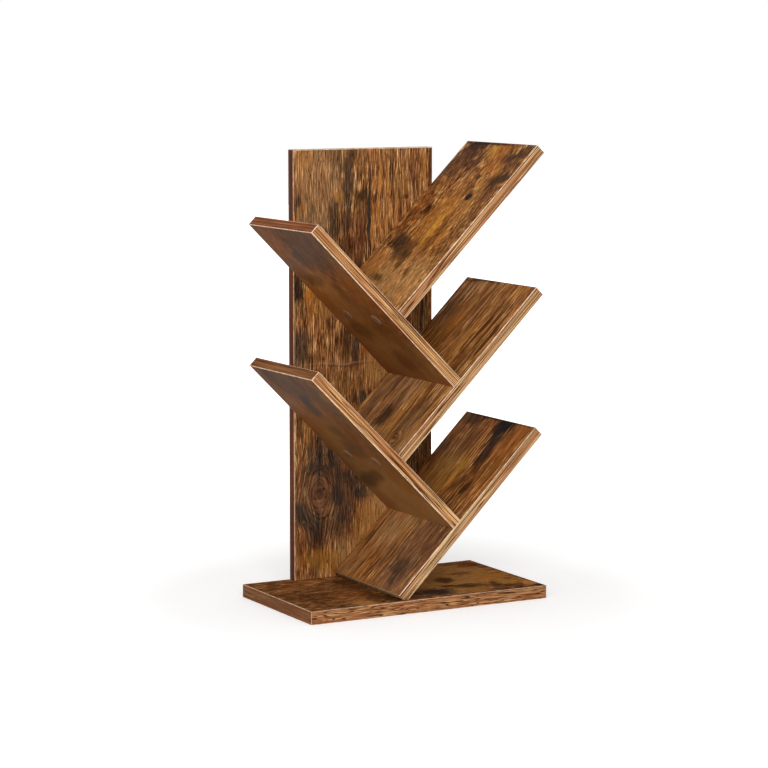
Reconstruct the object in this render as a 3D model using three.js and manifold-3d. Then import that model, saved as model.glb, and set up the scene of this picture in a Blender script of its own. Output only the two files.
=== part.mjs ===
// Tree shaped bookshelf. Five boards lean right and left in turn, at half a right angle, from an
// upright trunk board that stands on a flat base. Each leaning board stands square on the one below.
// All boards are wood-effect faced chipboard with glued edge bands, held together by screws.
// Millimetres, +Z up, origin under the middle of the base, front towards -Y.
import * as THREE from 'three';
import { mergeVertices } from 'three/addons/utils/BufferGeometryUtils.js';
import Module from 'manifold-3d';

// Base
const baseWidth = 360;
const baseDepth = 205;
const baseThickness = 18;

// Trunk, flush with the base's back edge
const trunkWidth = 216;
const trunkThickness = 15;
const trunkTopDrop = 7.6; // from the tip of the highest shelf down to the trunk's top

// Leaning shelves, from the trunk's front face forwards
const shelfLength = 300;
const shelfThickness = 15;
const frontSetback = 6; // from the base's front edge back to the shelves' front edges
const tierPitch = 190; // height from one right-hand shelf to the next
const lean = Math.PI / 4; // right and left shelves meet square
const footTrim = 2; // the lowest shelf is this much shorter than the others
const footFlat = 8; // width of the flat that the lowest shelf stands on

// Clearance between any two pieces that meet, and round a screw in its hole
const fitGap = 0.3;

// Edge bands
const bandThickness = 1;

// Screws with a countersunk head and a hexagon socket
const screwLength = 40;
const screwRadius = 2.5;
const screwTip = 4;
const screwTipRadius = 0.8;
const headRadius = 4.5;
const headRim = 0.6;
const headCone = 2;
const headSink = 0.3; // depth of the head's top below the board's face
const socketAcross = 4;
const socketDepth = 2.2;
const jointScrewSpread = 80; // between the two screws at each meeting of two boards
const trunkScrewFootInset = 40; // first trunk screw of a shelf, from the shelf's foot
const trunkScrewSideInset = 30; // second trunk screw of a shelf, from the trunk's side
const baseScrewSideInset = 40; // base screws under the trunk, from the trunk's side
const footBiteShare = 0.7; // of the wood above the lowest shelf's flat, taken by its base screws

// Round covers over the screw heads under the shelves
const coverRadius = 9;
const coverThickness = 0.6;

// Flat sides on round pieces and holes
const screwSides = 12;
const coverSides = 20;
const socketSides = 6;

const boardMaterial = new THREE.MeshStandardMaterial({ color: '#764a26', roughness: 0.5, flatShading: true });
const bandMaterial = new THREE.MeshStandardMaterial({ color: '#a5744c', roughness: 0.6, flatShading: true });
const steelMaterial = new THREE.MeshStandardMaterial({
  color: '#b9b9b4', roughness: 0.35, metalness: 1, flatShading: true,
});
const coverMaterial = new THREE.MeshStandardMaterial({ color: '#84603f', roughness: 0.45, flatShading: true });

const wasm = await Module();
wasm.setup();

// A solid for cutting, from a closed geometry.
function solidFrom(geometry) {
  const plain = geometry.clone();
  plain.deleteAttribute('normal');
  plain.deleteAttribute('uv');
  const merged = mergeVertices(plain);
  const corners = merged.index.array;
  const kept = [];
  for (let i = 0; i < corners.length; i += 3) {
    const [a, b, c] = corners.slice(i, i + 3);
    if (a !== b && b !== c && c !== a) kept.push(a, b, c);
  }
  return new wasm.Manifold(new wasm.Mesh({
    numProp: 3,
    vertProperties: new Float32Array(merged.attributes.position.array),
    triVerts: new Uint32Array(kept),
  }));
}

// What is left of a geometry when others are cut from it.
function cut(geometry, cutters) {
  let solid = solidFrom(geometry);
  for (const cutter of cutters) solid = solid.subtract(solidFrom(cutter));
  const mesh = solid.getMesh();
  const result = new THREE.BufferGeometry();
  result.setAttribute('position', new THREE.BufferAttribute(mesh.vertProperties, 3));
  result.setIndex(new THREE.BufferAttribute(mesh.triVerts, 1));
  return result;
}

// A block between two opposite corners, given in any order.
function block([x0, y0, z0], [x1, y1, z1]) {
  const geometry = new THREE.BoxGeometry(Math.abs(x1 - x0), Math.abs(y1 - y0), Math.abs(z1 - z0));
  return geometry.translate((x0 + x1) / 2, (y0 + y1) / 2, (z0 + z1) / 2);
}

// An outline in X and Z, given depth from y0 to y1.
function slab(outline, y0, y1) {
  const shape = new THREE.Shape(outline.map(([x, z]) => new THREE.Vector2(x, z)));
  const geometry = new THREE.ExtrudeGeometry(shape, { depth: y1 - y0, bevelEnabled: false });
  return geometry.rotateX(Math.PI / 2).translate(0, y1, 0);
}

// A screw along +Z with its head at the origin, or its hole when it is grown by a clearance.
function screwShape(length, grow = 0) {
  const widen = grow / Math.cos(Math.PI / screwSides);
  const end = length + grow;
  const profile = [
    [0, grow ? -headSink - grow : 0],
    [headRadius + widen, grow ? -headSink - grow : 0],
    [headRadius + widen, headRim],
    [screwRadius + widen, headRim + headCone],
    [screwRadius + widen, end - screwTip],
    [screwTipRadius + widen, end],
    [0, end],
  ];
  const points = profile.map(([r, z]) => new THREE.Vector2(r, -z)).reverse();
  return new THREE.LatheGeometry(points, screwSides).rotateX(-Math.PI / 2);
}

function screwGeometry(length) {
  const socketRadius = socketAcross / 2 / Math.cos(Math.PI / socketSides);
  const socket = new THREE.CylinderGeometry(socketRadius, socketRadius, 2 * socketDepth, socketSides);
  return cut(screwShape(length), [socket.rotateX(Math.PI / 2)]);
}

const rack = new THREE.Group();
rack.name = 'tree_bookshelf';

function add(group, name, geometry, material) {
  const mesh = new THREE.Mesh(geometry, material);
  mesh.name = name;
  group.add(mesh);
  return mesh;
}

// Places along Y, shared by the trunk and the shelves
const backY = baseDepth / 2;
const trunkFrontY = backY - trunkThickness;
const shelfBackY = trunkFrontY - fitGap;
const shelfFrontY = -baseDepth / 2 + frontSetback;
const shelfMidY = (shelfFrontY + shelfBackY) / 2;
const shelfDepth = shelfBackY - shelfFrontY;

// Places of the shelves in X and Z. Each foot stands half a pitch above the foot below it.
const rise = tierPitch / 2;
const stepAlong = rise / Math.sin(lean);
const tipX = (shelfLength - stepAlong / 2) * Math.cos(lean);
const footLeg = footFlat * Math.sin(lean);
const firstLength = shelfLength - footTrim;
const firstFootZ = baseThickness + fitGap + (shelfThickness - footLeg) * Math.cos(lean);
const firstTipZ = firstFootZ + firstLength * Math.sin(lean);

const names = ['right_shelf_lower', 'left_shelf_lower', 'right_shelf_middle', 'left_shelf_upper',
  'right_shelf_upper'];
const shelves = names.map((name, k) => {
  const side = k % 2 === 0 ? 1 : -1;
  const length = k === 0 ? firstLength : shelfLength;
  const frame = new THREE.Group();
  frame.position.set(
    side * (tipX - length * Math.cos(lean)),
    shelfMidY,
    firstTipZ + k * rise - length * Math.sin(lean),
  );
  frame.rotation.y = -side * lean;
  frame.updateMatrixWorld();
  rack.add(frame);
  return { name, side, length, frame, first: k === 0, last: k === names.length - 1 };
});

const trunkTopZ = firstTipZ + (names.length - 1) * rise - trunkTopDrop;
const trunkFootZ = baseThickness + fitGap;
const trunkFrame = new THREE.Group();
trunkFrame.position.set(0, trunkFrontY, trunkFootZ);
trunkFrame.updateMatrixWorld();
rack.add(trunkFrame);
const baseFrame = new THREE.Group();
rack.add(baseFrame);

// Screws. Each has a frame of its own and the names of the boards that it goes through.
const screws = [];
function screw(name, position, turn, boards, length = screwLength) {
  const frame = new THREE.Group();
  frame.position.copy(position);
  frame.rotation.set(turn.x, turn.y, 0);
  frame.updateMatrixWorld();
  rack.add(frame);
  add(frame, name, screwGeometry(length), steelMaterial);
  screws.push({ frame, boards, length });
}

const upwards = { x: 0, y: 0 };
const forwards = { x: Math.PI / 2, y: 0 };
shelves.forEach((shelf, k) => {
  const label = shelf.name.replace('_shelf', '');
  const midline = -shelfThickness / 2;
  const centreX = (along) => shelf.frame.localToWorld(new THREE.Vector3(shelf.side * along, 0, midline));

  // Two screws from the trunk's back into the shelf's back edge
  const edgeX = trunkWidth / 2 - trunkScrewSideInset;
  const footX = shelf.side * centreX(0).x;
  const places = [trunkScrewFootInset, (edgeX - footX) / Math.cos(lean)];
  places.forEach((along, i) => {
    const point = centreX(along);
    point.y = backY - headSink;
    screw(`trunk_screw_${label}_${i + 1}`, point, forwards, ['trunk_board', shelf.name]);
  });

  // Two screws from under the shelf into the foot of the next one up, with covers on their heads
  if (shelf.last) return;
  const along = shelf.length - shelfLength + stepAlong - shelfThickness / 2;
  [-1, 1].forEach((place, i) => {
    const local = new THREE.Vector3(shelf.side * along, place * jointScrewSpread / 2,
      -shelfThickness + headSink);
    const point = shelf.frame.localToWorld(local.clone());
    screw(`joint_screw_${label}_${i + 1}`, point, { x: 0, y: shelf.frame.rotation.y },
      [shelf.name, names[k + 1]]);
    const cover = new THREE.CylinderGeometry(coverRadius, coverRadius, coverThickness, coverSides);
    const coverMesh = add(shelf.frame, `screw_cover_${label}_${i + 1}`, cover, coverMaterial);
    coverMesh.position.set(local.x, local.y, -shelfThickness - fitGap - coverThickness / 2);
    coverMesh.rotation.x = Math.PI / 2;
  });
});

// Screws up through the base, into the trunk's foot and into the lowest shelf's flat
const lowest = shelves[0];
const flatMid = lowest.frame.localToWorld(new THREE.Vector3(footLeg / 2, 0, footLeg / 2 - shelfThickness));
const footWood = (2 * shelfThickness - footLeg) * Math.sin(lean);
[-1, 1].forEach((place, i) => {
  screw(`base_screw_trunk_${i + 1}`,
    new THREE.Vector3(place * (trunkWidth / 2 - baseScrewSideInset), backY - trunkThickness / 2, headSink),
    upwards, ['base_board', 'trunk_board']);
  screw(`base_screw_shelf_${i + 1}`,
    new THREE.Vector3(flatMid.x, shelfMidY + place * jointScrewSpread / 2, headSink),
    upwards, ['base_board', lowest.name], baseThickness + footBiteShare * footWood);
});

// A piece with its screw holes, in its own frame.
function drilled(geometry, frame, board) {
  const inward = frame.matrixWorld.clone().invert();
  const cutters = screws.filter(({ boards }) => boards.includes(board)).map(({ frame: place, length }) => (
    screwShape(length, fitGap).applyMatrix4(inward.clone().multiply(place.matrixWorld))));
  return cut(geometry, cutters);
}

// Base board, with bands on its four edges. The front and back bands cover the ends of the others.
const bandRoom = bandThickness + fitGap;
const halfBase = baseWidth / 2;
const coreX = halfBase - bandRoom;
const coreY = backY - bandRoom;
add(baseFrame, 'base_board',
  drilled(block([-coreX, -coreY, 0], [coreX, coreY, baseThickness]), baseFrame, 'base_board'), boardMaterial);
for (const [label, side] of [['front', -1], ['back', 1]]) {
  add(baseFrame, `base_band_${label}`, block([-halfBase, side * backY, 0],
    [halfBase, side * (backY - bandThickness), baseThickness]), bandMaterial);
}
for (const [label, side] of [['left', -1], ['right', 1]]) {
  add(baseFrame, `base_band_${label}`, block([side * halfBase, -coreY, 0],
    [side * (halfBase - bandThickness), coreY, baseThickness]), bandMaterial);
}

// Trunk board, with bands on its sides and its top
const trunkHeight = trunkTopZ - trunkFootZ;
const trunkCoreX = trunkWidth / 2 - bandRoom;
add(trunkFrame, 'trunk_board', drilled(
  block([-trunkCoreX, 0, 0], [trunkCoreX, trunkThickness, trunkHeight - bandRoom]), trunkFrame, 'trunk_board',
), boardMaterial);
for (const [label, side] of [['left', -1], ['right', 1]]) {
  add(trunkFrame, `trunk_band_${label}`, block([side * trunkWidth / 2, 0, 0],
    [side * (trunkWidth / 2 - bandThickness), trunkThickness, trunkHeight]), bandMaterial);
}
add(trunkFrame, 'trunk_band_top', block([-trunkCoreX, 0, trunkHeight - bandThickness],
  [trunkCoreX, trunkThickness, trunkHeight]), bandMaterial);

// Leaning shelves, each with bands on its front, its back and its tip
for (const { name, side, length, frame, first } of shelves) {
  const half = shelfDepth / 2;
  const start = first ? 0 : fitGap;
  const foot = first
    ? [[side * footLeg, -shelfThickness], [0, footLeg - shelfThickness], [0, 0]]
    : [[side * start, -shelfThickness], [side * start, 0]];
  const outline = (end) => [...foot, [side * end, 0], [side * end, -shelfThickness]];

  const core = slab(outline(length - bandRoom), -half + bandRoom, half - bandRoom);
  add(frame, name, drilled(core, frame, name), boardMaterial);
  add(frame, `${name}_band_front`, slab(outline(length), -half, -half + bandThickness), bandMaterial);
  const back = slab(outline(length), half - bandThickness, half);
  add(frame, `${name}_band_back`, drilled(back, frame, name), bandMaterial);
  add(frame, `${name}_band_tip`, block([side * (length - bandThickness), -half + bandRoom, -shelfThickness],
    [side * length, half - bandRoom, 0]), bandMaterial);
}

export default rack;
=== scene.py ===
# %% [markdown]
# # A tree shaped bookshelf, finished for the camera
# The bookshelf is flat-pack furniture: seven chipboard boards faced with a printed wood-effect paper,
# glued edge bands in a lighter print, countersunk screws, and round caps over the screw heads that would
# show. The frame below holds every board, band and screw at its real place. This lesson models the fine
# surface of each of them over that frame, and then gives each one the finish of the real material.

# %% Load the frame
import math

import bmesh
import bpy
from mathutils import Matrix, Vector


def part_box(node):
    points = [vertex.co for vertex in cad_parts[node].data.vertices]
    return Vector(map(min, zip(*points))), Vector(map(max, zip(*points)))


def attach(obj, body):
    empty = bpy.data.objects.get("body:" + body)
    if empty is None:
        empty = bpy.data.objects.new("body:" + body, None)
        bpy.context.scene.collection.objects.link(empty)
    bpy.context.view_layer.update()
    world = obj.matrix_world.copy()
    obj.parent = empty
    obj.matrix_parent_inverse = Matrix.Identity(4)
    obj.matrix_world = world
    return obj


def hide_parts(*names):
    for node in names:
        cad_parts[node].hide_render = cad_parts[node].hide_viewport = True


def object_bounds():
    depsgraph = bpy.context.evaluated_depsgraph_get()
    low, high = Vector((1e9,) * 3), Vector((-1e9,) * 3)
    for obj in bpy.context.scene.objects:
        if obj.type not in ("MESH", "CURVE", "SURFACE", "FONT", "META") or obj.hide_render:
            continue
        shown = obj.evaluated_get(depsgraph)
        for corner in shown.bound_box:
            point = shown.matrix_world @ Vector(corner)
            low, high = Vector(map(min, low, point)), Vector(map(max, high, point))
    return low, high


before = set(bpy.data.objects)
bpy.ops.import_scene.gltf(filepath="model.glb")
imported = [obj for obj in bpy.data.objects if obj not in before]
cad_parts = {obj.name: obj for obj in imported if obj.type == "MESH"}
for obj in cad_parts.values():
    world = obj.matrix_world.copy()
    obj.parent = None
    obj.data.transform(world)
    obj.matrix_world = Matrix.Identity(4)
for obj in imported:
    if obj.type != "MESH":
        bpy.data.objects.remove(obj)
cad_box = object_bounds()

MM = 0.001  # scene units are metres, and the values below are millimetres where they don't say metres
print("frame box in mm:", [[round(c / MM, 1) for c in corner] for corner in cad_box])

# %% [markdown]
# ## The camera
# The photograph was taken from the front left, a little above the middle of the bookshelf, with a long
# lens. The camera's place was solved from the straight edges of the boards. The real uprights are drawn
# parallel, which a shifted lens does. A plain camera with a small tilt comes within three pixels of that
# and keeps the other views centred, so there is no shift here. A camera could also be aimed with a
# constraint, but plain angles stay readable: a turn about the upright, then a tilt down.

# %% Camera
CAMERA_PLACE = Vector((-1740.0, -3143.4, 752.7)) * MM
CAMERA_TURN = math.radians(28.74)  # to the right of straight ahead
CAMERA_TILT = math.radians(7.28)  # down from level
CAMERA_LENS = 125.75
CAMERA_SENSOR = 36.0

camera_data = bpy.data.cameras.new("camera")
camera_data.lens = CAMERA_LENS
camera_data.sensor_width = CAMERA_SENSOR
camera = bpy.data.objects.new("camera", camera_data)
camera.location = CAMERA_PLACE
camera.rotation_euler = (math.pi / 2 - CAMERA_TILT, 0, -CAMERA_TURN)
bpy.context.scene.collection.objects.link(camera)
bpy.context.scene.camera = camera
print("camera at", [round(c, 3) for c in camera.location])

# %% [markdown]
# ## Helpers for every material
# Colours are given as hex values, which hold sRGB, but a shader works with linear light, so one
# function turns the first into the second. Another adds any node: it sets the node's options, fills its
# sockets with values or links, and hands back the output that is wanted. With it a whole pattern reads
# from top to bottom. A third starts a material with the plain values of its shader.


# %% Colour and node helpers
def colour(hex_value):
    """An sRGB hex colour as linear red, green, blue and alpha."""
    channels = [int(hex_value[i:i + 2], 16) / 255 for i in (1, 3, 5)]
    linear = [c / 12.92 if c <= 0.04045 else ((c + 0.055) / 1.055) ** 2.4 for c in channels]
    return (*linear, 1.0)


COLOUR_MIX = {"output": 2, "data_type": "RGBA"}  # a Mix node's colours go in at 6 and 7, the share at 0


def add_node(tree, kind, sockets, output=0, **options):
    """Adds a shader node and returns one output. Sockets are a list in the node's order, or a dict."""
    node = tree.nodes.new("ShaderNode" + kind)
    for option, value in options.items():
        setattr(node, option, value)
    for socket, value in sockets.items() if isinstance(sockets, dict) else enumerate(sockets):
        if isinstance(value, bpy.types.NodeSocket):
            tree.links.new(value, node.inputs[socket])
        else:
            node.inputs[socket].default_value = value
    return node.outputs[output]


def new_material(name, **shader_values):
    """An empty material with a Principled shader, whose plain values are set on its own sockets."""
    material = bpy.data.materials.new(name)
    material.use_nodes = True
    tree = material.node_tree
    shader = tree.nodes["Principled BSDF"]
    for socket, value in shader_values.items():
        shader.inputs[socket.replace("_", " ")].default_value = value
    return material, tree, shader


print("tan", [round(c, 3) for c in colour("#a8743f")])

# %% [markdown]
# ## Each board's own directions
# Grain follows a board and not the room, so each board gets three directions: along its grain, across
# it, and out of the face that the photograph shows. Turned into those directions, a leaning board is a
# plain box again. Its box is measured on the frame's own vertices, so nothing here repeats a size that
# the frame already holds.

# %% Board directions and boxes
LEFT_LEAN = Vector((-1, 0, 1)).normalized()
RIGHT_LEAN = Vector((1, 0, 1)).normalized()
X_AXIS, Y_AXIS, Z_AXIS = Vector((1, 0, 0)), Vector((0, 1, 0)), Vector((0, 0, 1))
DIRECTIONS = {  # along the grain, across it
    "base_board": (X_AXIS, Y_AXIS),
    "trunk_board": (Z_AXIS, -X_AXIS),
    "right_shelf_lower": (RIGHT_LEAN, Y_AXIS),
    "left_shelf_lower": (LEFT_LEAN, Y_AXIS),
    "right_shelf_middle": (RIGHT_LEAN, Y_AXIS),
    "left_shelf_upper": (LEFT_LEAN, Y_AXIS),
    "right_shelf_upper": (RIGHT_LEAN, Y_AXIS),
}


def room_turn(along, across, out):
    """From millimetres along three directions of the room to metres in the room."""
    return Matrix((along, across, out)).transposed().to_4x4() @ Matrix.Scale(MM, 4)


def box_in(node, place):
    """A frame node's lowest and highest corner in a board's own millimetres."""
    inward = place.inverted()
    points = [inward @ vertex.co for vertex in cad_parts[node].data.vertices]
    low = Vector([min(p[i] for p in points) for i in range(3)])
    high = Vector([max(p[i] for p in points) for i in range(3)])
    return low, high


def board_place(node):
    """From a board's own millimetres, zero at its foot, mid width and shown face, to metres in the room."""
    along, across = DIRECTIONS[node]
    turn = room_turn(along, across, along.cross(across))
    low, high = box_in(node, turn)
    return turn @ Matrix.Translation((low.x, (low.y + high.y) / 2, high.z))


places = {node: board_place(node) for node in DIRECTIONS}
for node, place in places.items():
    low, high = box_in(node, place)
    print(node, "is", [round(c, 1) for c in high - low], "mm")

# %% [markdown]
# ## The printed paper on the boards
# The faces of the boards are melamine-faced chipboard: a photograph of old rustic timber printed on
# paper, under a hard satin resin. The eye reads it as wood with golden and dark clouds, long streaks,
# short fine fibres, knots and soot-dark stains, all under one even sheen, because the resin is the same
# over light and dark. It could be one picture, but a procedural print has no seams and no limit of
# sharpness. It is painted from coarse to fine: clouds, blotches, streaks, grain lines and fibres add up
# to one level, and a ramp turns that level into a brown. Stains and patches are then laid over it, most
# where this bookshelf has them and a few as painted light and painted shade, with edges that the fibres
# break up, and the whole drifts between two tints.
# Grain parts round a knot and closes into rings. The faces that the photograph doesn't show get stains
# of their own and a calmer contrast, and the two undersides that it shows in shade are calmer too.

# %% The print's colours and scales
PRINT_BROWNS = ((0.0, "#20150e"), (0.2, "#452b1a"), (0.42, "#6c4629"), (0.6, "#91633a"), (0.78, "#b4824e"),
                (1.0, "#dfb680"))
SOOT, SMOKE, UMBER, EARTH = "#261d18", "#38322d", "#3f2716", "#5f3d20"
HONEY, GOLD, ORANGE = "#b07b42", "#c08844", "#a8622c"
GREY_BROWN, OLIVE, PLUM = "#54432f", "#45341f", "#4b2a1e"
WARMER, COOLER = "#fce7dc", "#eeeff0"  # the print drifts between two tints
GOLDEN, SANDY = "#ffe2c2", "#f4ead6"

SWAY_LENGTH, SWAY_REACH = 70.0, 9.0  # how far apart the grain's bends are, and how far it bends
CLOUD_LENGTH, CLOUD_WIDTH = 66.0, 30.0
BLOTCH_LENGTH, BLOTCH_WIDTH = 22.0, 14.0
STREAK_LENGTH, STREAK_WIDTH = 260.0, 10.0
# The real fibres are about 0.3 mm wide, too fine to show here, so they are drawn as coarse as they need to
# show, and coarser again on the boards that are seen at a slant. Each pair is a length and a width.
FINE_FIBRES, FINE_LINES = (26.0, 1.6), (120.0, 2.4)
LONG_FIBRES, LONG_LINES = (14.0, 3.2), (90.0, 4.0)
STREAKY_FIBRES = (42.0, 3.0)
PORE_LENGTH, PORE_WIDTH = 9.0, 2.0
RAGGED_LENGTH, RAGGED_WIDTH = 20.0, 10.0  # the bays and spits of a stain's edge
STAIN_LENGTH, STAIN_WIDTH = 70.0, 30.0  # stains on the faces that the photograph doesn't show
SOOT_STAINS, HONEY_STAINS = (0.55, 0.66, 0.0, 0.75), (0.34, 0.45, 0.6, 0.0)  # noise and share, from and to
HIDDEN_CONTRAST = 0.6
MARK_DEPTH = 9.0  # a mark fades out within the board, so that it stays on the face it is printed on
MARK_RIM = (0.5, 1.4)  # a mark fades from full to nothing between these shares of its size
KNOT_REACH, KNOT_RIM = 1.8, (0.7, 1.3)  # how far the grain parts round a knot, and where its rings fade
KNOT_RING, KNOT_UNEVEN = (0.03, 0.25), 0.25  # a ring's dark line and pale side, and how uneven it is
SHOWN_DEPTH, HIDDEN_DEPTH = -4.0, -11.0  # the shown face lies above the first, the other below the second

# Noise lies around a half. A pattern swings fully where its noise is this far from there.
CLOUD_SOFT, STREAK_SOFT, LINE_SOFT, FIBRE_SOFT, BLOTCH_SOFT = 0.2, 0.18, 0.15, 0.14, 0.16
WIDE_SPAN, MIX_SPAN = (0.3, 0.7), (0.35, 0.65)  # the part of a noise that a soft or firm change runs over
FIBRE_SPAN, FIBRE_LIFT = (0.36, 0.64), 1.6  # fibres change the light by this many times their swing
PIT_SPAN, PIT_DROP = (0.62, 0.7), 2.5  # and pores darken it by this many times
FIBRE_FUZZ = 0.2  # how far fibres push a mark's edge about
MATT, SATIN = 0.6, 0.5  # roughness at both ends of the cloudy pattern
EMBOSS_STRENGTH, EMBOSS_DEPTH = 0.35, 0.08
print("print browns:", [shade for _, shade in PRINT_BROWNS])


# %% Noise along the grain
def grain_noise(tree, place, length, width, detail=2.0, shift=0.0, output=0, roughness=0.6):
    """Noise whose lumps have this real length along the grain and this width across it."""
    scaled = add_node(tree, "VectorMath", [place, (1 / length, 1 / width, 1 / width)], operation="MULTIPLY")
    return add_node(tree, "TexNoise", {"Vector": scaled, "W": shift, "Scale": 1.0, "Detail": detail,
                                       "Roughness": roughness}, output=output, noise_dimensions="4D")


def own_millimetres(tree, place):
    """Object coordinates turned into a board's own millimetres."""
    inward = place.inverted()
    spot = add_node(tree, "TexCoord", [], output="Object")
    turned = [spot, inward.to_translation(), inward.to_euler(), inward.to_scale()]
    return add_node(tree, "Mapping", turned, vector_type="POINT")


print("clouds are", CLOUD_LENGTH, "by", CLOUD_WIDTH, "mm")


# %% Bends, knots and marks
def wandering(tree, place, shift):
    """The place with the grain's slow bends added."""
    bends = grain_noise(tree, place, SWAY_LENGTH, SWAY_LENGTH, shift=shift, output="Color")
    centred = add_node(tree, "VectorMath", [bends, (0.5, 0.5, 0.5)], operation="SUBTRACT")
    moved = add_node(tree, "VectorMath", [centred, (SWAY_REACH * 2, SWAY_REACH, 0.0)], operation="MULTIPLY")
    return add_node(tree, "VectorMath", [place, moved], operation="ADD")


def from_middle(tree, spot, along, across, half_length, half_width, tilt=0.0):
    """A place as seen from the middle of an ellipse, and its distance, which is 1 at the ellipse's rim."""
    middle, size = (along, across, 0.0), (half_length, half_width, MARK_DEPTH)
    ellipse = [spot, middle, (0.0, 0.0, math.radians(tilt)), size]
    offset = add_node(tree, "Mapping", ellipse, vector_type="TEXTURE")
    return offset, add_node(tree, "VectorMath", [offset], output="Value", operation="LENGTH")


def lay_mark(tree, shade, spot, fuzz, mark):
    """Lays one stain, pale patch, painted light or painted shade over the print. Its edge is broken up by
    the fibres.
    """
    *ellipse, mark_shade, share = mark
    distance = from_middle(tree, spot, *ellipse)[1]
    fuzzy = add_node(tree, "Math", [distance, fuzz], operation="ADD")
    cover = add_node(tree, "MapRange", [fuzzy, *MARK_RIM, share, 0.0], interpolation_type="SMOOTHSTEP")
    return add_node(tree, "Mix", {0: cover, 6: shade, 7: colour(mark_shade)}, **COLOUR_MIX)


def bend_round(tree, spot, knot):
    """Makes the grain part round a knot, by reading the pattern from nearer the knot's own line."""
    ellipse = knot[:5]
    offset, distance = from_middle(tree, spot, *ellipse)
    near = add_node(tree, "MapRange", [distance, 0.0, KNOT_REACH, 1.0, 0.0], interpolation_type="SMOOTHSTEP")
    inwards = add_node(tree, "VectorMath", [offset, (0.0, -ellipse[3], 0.0)], operation="MULTIPLY")
    moved = add_node(tree, "VectorMath", {0: inwards, "Scale": near}, operation="SCALE")
    return add_node(tree, "VectorMath", [spot, moved], operation="ADD")


def add_rings(tree, light, spot, fuzz, knot):
    """Adds a knot's rings to the light and dark of the print."""
    *ellipse, rings, swing = knot
    distance = from_middle(tree, spot, *ellipse)[1]
    uneven = add_node(tree, "Math", [fuzz, KNOT_UNEVEN, distance], operation="MULTIPLY_ADD")
    counted = add_node(tree, "Math", [uneven, rings], operation="MULTIPLY")
    wave = add_node(tree, "Math", [counted, 0.5], operation="PINGPONG")
    change = add_node(tree, "MapRange", [wave, *KNOT_RING, -swing, swing / 2])
    near = add_node(tree, "MapRange", [distance, *KNOT_RIM, 1.0, 0.0], interpolation_type="SMOOTHSTEP")
    return add_node(tree, "Math", [change, near, light], operation="MULTIPLY_ADD")


print("a mark is", MARK_DEPTH, "mm deep")


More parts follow.
